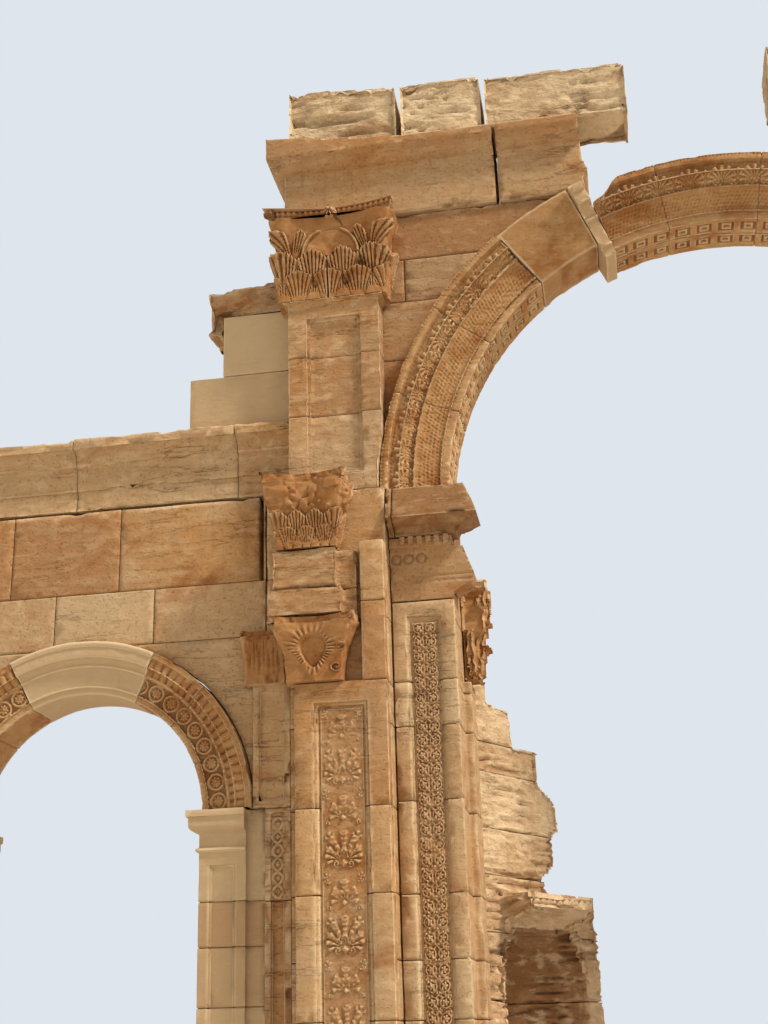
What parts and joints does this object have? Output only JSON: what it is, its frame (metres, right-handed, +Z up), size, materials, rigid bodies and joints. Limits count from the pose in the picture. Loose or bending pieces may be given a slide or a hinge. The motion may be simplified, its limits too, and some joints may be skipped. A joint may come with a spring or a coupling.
{
  "type": "ruined triumphal arch",
  "caption": "Ruined stone triumphal arch: tall central arch with carved ring, lower side arches, pilasters with leaf capitals and a broken top.",
  "frame": {"origin": "middle of the bounding box on the ground", "axes": "+X along the front, +Y through the arches to the back, +Z up"},
  "size_m": [23.94, 4.46, 13.995],
  "materials": {
    "old_stone": "weathered honey limestone, worn and pitted",
    "carved_stone": "carved honey limestone with an orange-brown patina",
    "new_stone": "pale smooth-sawn repair limestone"
  },
  "bodies": {
    "root": {"arch_ring_left": "carved_stone", "arch_ring_right": "carved_stone", "arch_crown": "carved_stone", "left_wedge": "new_stone", "right_wedge": "new_stone", "left_pier": "old_stone", "right_pier": "old_stone", "left_main_pilaster": "carved_stone", "right_main_pilaster": "carved_stone", "left_main_capital": "carved_stone", "right_main_capital": "carved_stone", "left_middle_capital": "carved_stone", "right_middle_capital": "carved_stone", "left_jamb_pilaster": "carved_stone", "right_jamb_pilaster": "carved_stone", "left_jamb_capital": "carved_stone", "right_jamb_capital": "carved_stone", "left_impost": "old_stone", "right_impost": "old_stone", "left_side_jambs": "new_stone", "right_side_jambs": "new_stone", "left_small_pilaster": "old_stone", "right_small_pilaster": "old_stone", "left_side_arch": "carved_stone", "right_side_arch": "carved_stone", "left_side_wall": "old_stone", "right_side_wall": "old_stone", "left_side_entablature": "old_stone", "right_side_entablature": "old_stone", "left_outer_pier": "old_stone", "right_outer_pier": "old_stone", "left_outer_pilaster": "old_stone", "right_outer_pilaster": "old_stone", "left_upper_wall": "old_stone", "right_upper_wall": "old_stone", "left_upper_pilaster": "old_stone", "right_upper_pilaster": "old_stone", "left_upper_capital": "carved_stone", "right_upper_capital": "carved_stone", "left_cornice": "old_stone", "right_cornice": "old_stone", "left_top_blocks": "old_stone", "right_top_blocks": "old_stone", "left_rear_wing": "old_stone", "right_rear_wing": "old_stone", "left_new_blocks": "new_stone", "left_broken_block": "old_stone", "left_passage_capital": "carved_stone"}
  },
  "joints": []
}
